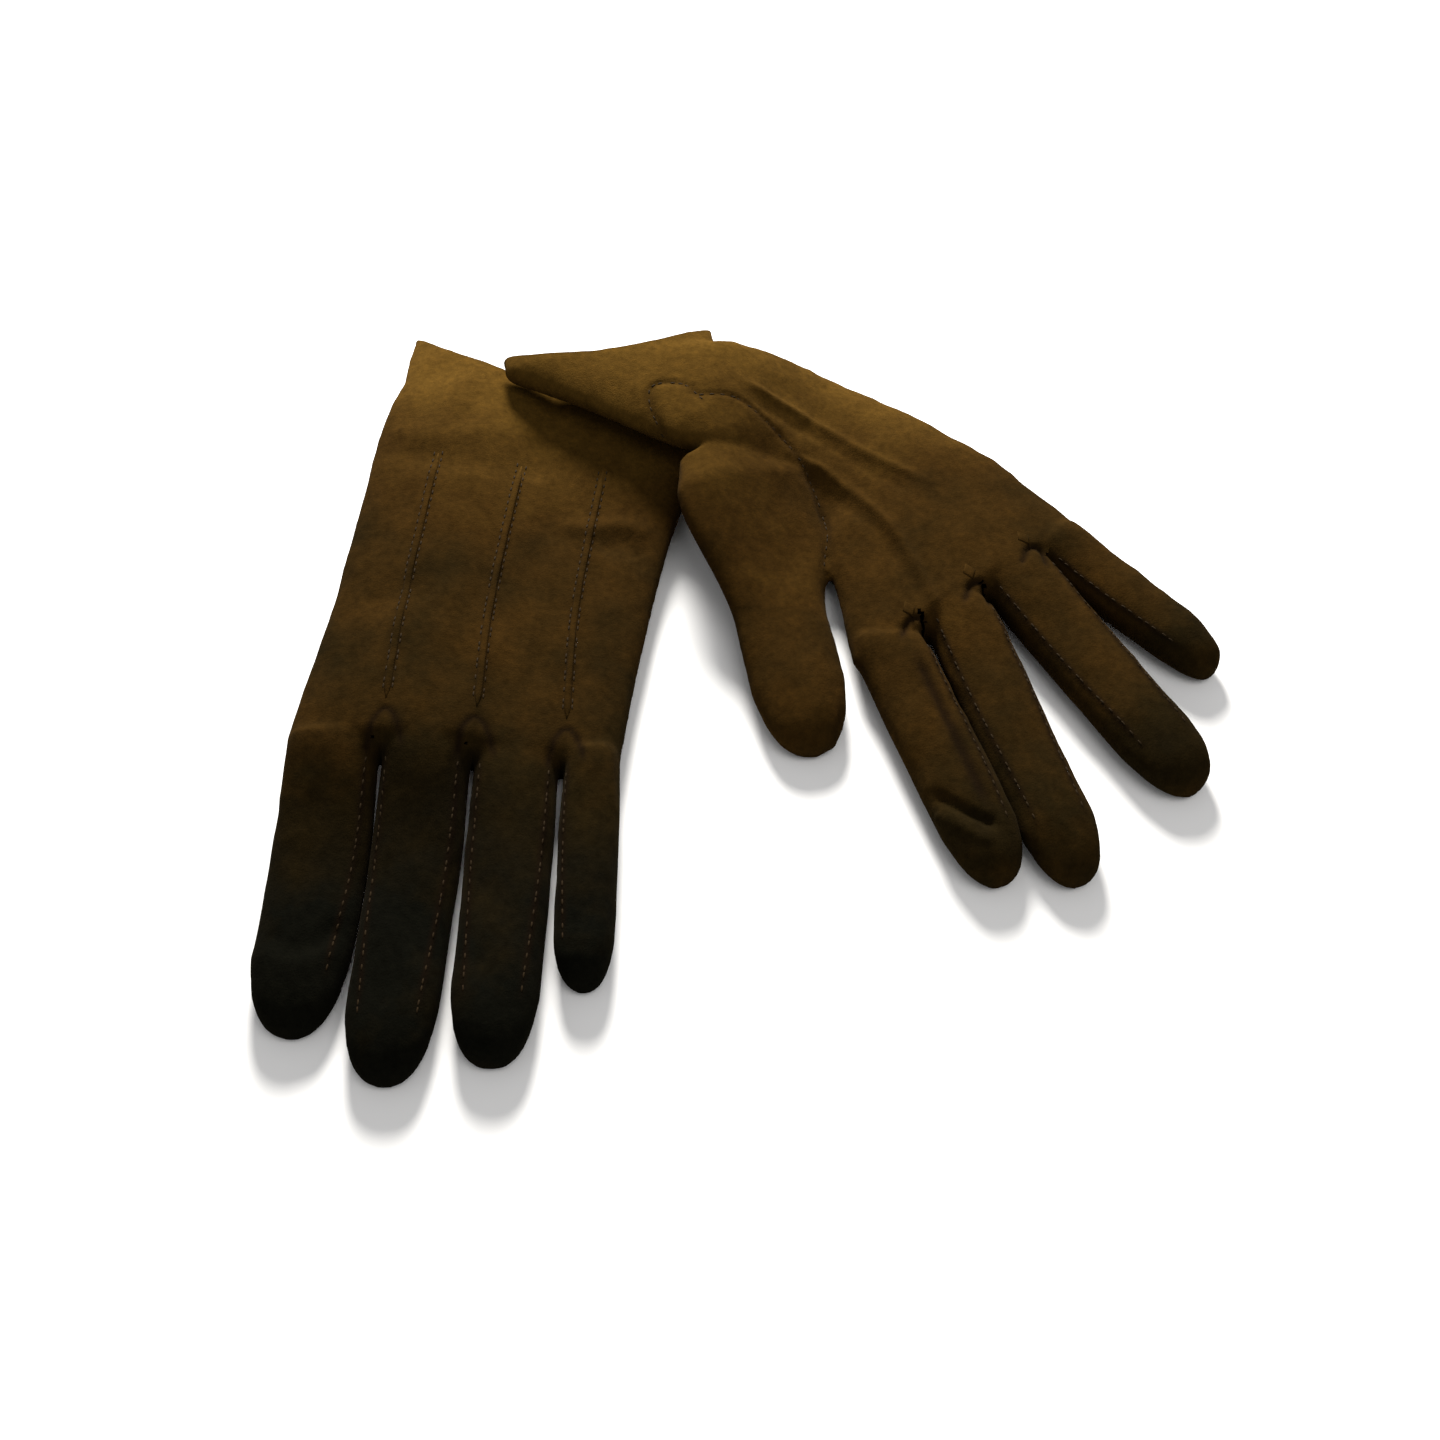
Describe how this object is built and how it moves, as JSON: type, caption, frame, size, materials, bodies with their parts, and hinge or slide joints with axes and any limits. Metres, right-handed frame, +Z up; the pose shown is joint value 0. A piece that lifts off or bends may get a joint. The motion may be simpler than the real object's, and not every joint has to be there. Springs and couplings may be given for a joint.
{
  "type": "leather gloves",
  "caption": "Pair of gentlemen's brown leather dress gloves, one laid over the other, with separate panels, fourchettes, thumbs, hems and linings.",
  "frame": {"origin": "on the surface that the gloves lie on, under the middle of the pair's box", "axes": "+Z up from that surface, +Y from the fingertips towards the cuffs, +X from the left glove to the right glove"},
  "size_m": [0.2578, 0.2524, 0.0325],
  "materials": {
    "leather": "suede, matt brown with a soft nap",
    "lining": "fine matt knit"
  },
  "bodies": {
    "left_hand": {"left_back_panel": "leather", "left_back_point_middle": "leather", "left_back_point_outer": "leather", "left_back_point_thumb_side": "leather", "left_hem_facing": "leather", "left_lining": "lining", "left_palm_panel": "leather", "left_quirk_index_middle": "leather", "left_quirk_middle_ring": "leather", "left_quirk_ring_little": "leather"},
    "right_hand": {"right_back_panel": "leather", "right_back_point_middle": "leather", "right_back_point_outer": "leather", "right_back_point_thumb_side": "leather", "right_hem_facing": "leather", "right_lining": "lining", "right_palm_panel": "leather", "right_quirk_index_middle": "leather", "right_quirk_middle_ring": "leather", "right_quirk_ring_little": "leather"},
    "left_thumb": {"left_thumb_back": "leather", "left_thumb_palm": "leather"},
    "left_index": {"left_index_back": "leather", "left_index_fourchette_outer": "leather", "left_index_palm": "leather"},
    "left_middle": {"left_middle_back": "leather", "left_middle_fourchette_outer": "leather", "left_middle_fourchette_thumb_side": "leather", "left_middle_palm": "leather"},
    "left_ring": {"left_ring_back": "leather", "left_ring_fourchette_outer": "leather", "left_ring_fourchette_thumb_side": "leather", "left_ring_palm": "leather"},
    "left_little": {"left_little_back": "leather", "left_little_fourchette_thumb_side": "leather", "left_little_palm": "leather"},
    "right_thumb": {"right_thumb_back": "leather", "right_thumb_palm": "leather"},
    "right_index": {"right_index_back": "leather", "right_index_fourchette_outer": "leather", "right_index_palm": "leather"},
    "right_middle": {"right_middle_back": "leather", "right_middle_fourchette_outer": "leather", "right_middle_fourchette_thumb_side": "leather", "right_middle_palm": "leather"},
    "right_ring": {"right_ring_back": "leather", "right_ring_fourchette_outer": "leather", "right_ring_fourchette_thumb_side": "leather", "right_ring_palm": "leather"},
    "right_little": {"right_little_back": "leather", "right_little_fourchette_thumb_side": "leather", "right_little_palm": "leather"}
  },
  "joints": [
    {"name": "right_glove_lift", "type": "slide", "parent": "left_hand", "child": "right_hand", "axis": [0, 0, 1], "range_m": [0, 0.12]},
    {"name": "left_thumb_swing", "type": "hinge", "parent": "left_hand", "child": "left_thumb", "pos_m": [-0.10837, 0.0736, 0.0093], "axis": [0, 0, -1], "range_deg": [0, 45]},
    {"name": "left_index_bend", "type": "hinge", "parent": "left_hand", "child": "left_index", "pos_m": [-0.11686, -0.0342, 0.02222], "axis": [-1, 0, 0], "range_deg": [0, 60]},
    {"name": "left_middle_bend", "type": "hinge", "parent": "left_hand", "child": "left_middle", "pos_m": [-0.09256, -0.0342, 0.02231], "axis": [-0.9997, 0.0262, 0], "range_deg": [0, 60]},
    {"name": "left_ring_bend", "type": "hinge", "parent": "left_hand", "child": "left_ring", "pos_m": [-0.06926, -0.0342, 0.0149], "axis": [-1, 0.0087, 0], "range_deg": [0, 60]},
    {"name": "left_little_bend", "type": "hinge", "parent": "left_hand", "child": "left_little", "pos_m": [-0.04967, -0.0342, 0.0136], "axis": [-1, -0.0087, 0], "range_deg": [0, 60]},
    {"name": "right_thumb_bend", "type": "hinge", "parent": "right_hand", "child": "right_thumb", "pos_m": [-0.00636, 0.0601, 0.0295], "axis": [-0.9869, -0.1616, 0], "range_deg": [0, 50]},
    {"name": "right_index_bend", "type": "hinge", "parent": "right_hand", "child": "right_index", "pos_m": [0.03332, 0.00418, 0.0152], "axis": [-0.9636, -0.2672, 0], "range_deg": [0, 60]},
    {"name": "right_middle_bend", "type": "hinge", "parent": "right_hand", "child": "right_middle", "pos_m": [0.05283, 0.01867, 0.0153], "axis": [-0.9703, -0.2419, 0], "range_deg": [0, 60]},
    {"name": "right_ring_bend", "type": "hinge", "parent": "right_hand", "child": "right_ring", "pos_m": [0.07154, 0.03256, 0.0153], "axis": [-0.8988, -0.4384, 0], "range_deg": [0, 60]},
    {"name": "right_little_bend", "type": "hinge", "parent": "right_hand", "child": "right_little", "pos_m": [0.08727, 0.04424, 0.0152], "axis": [-0.7547, -0.6561, 0], "range_deg": [0, 60]}
  ]
}
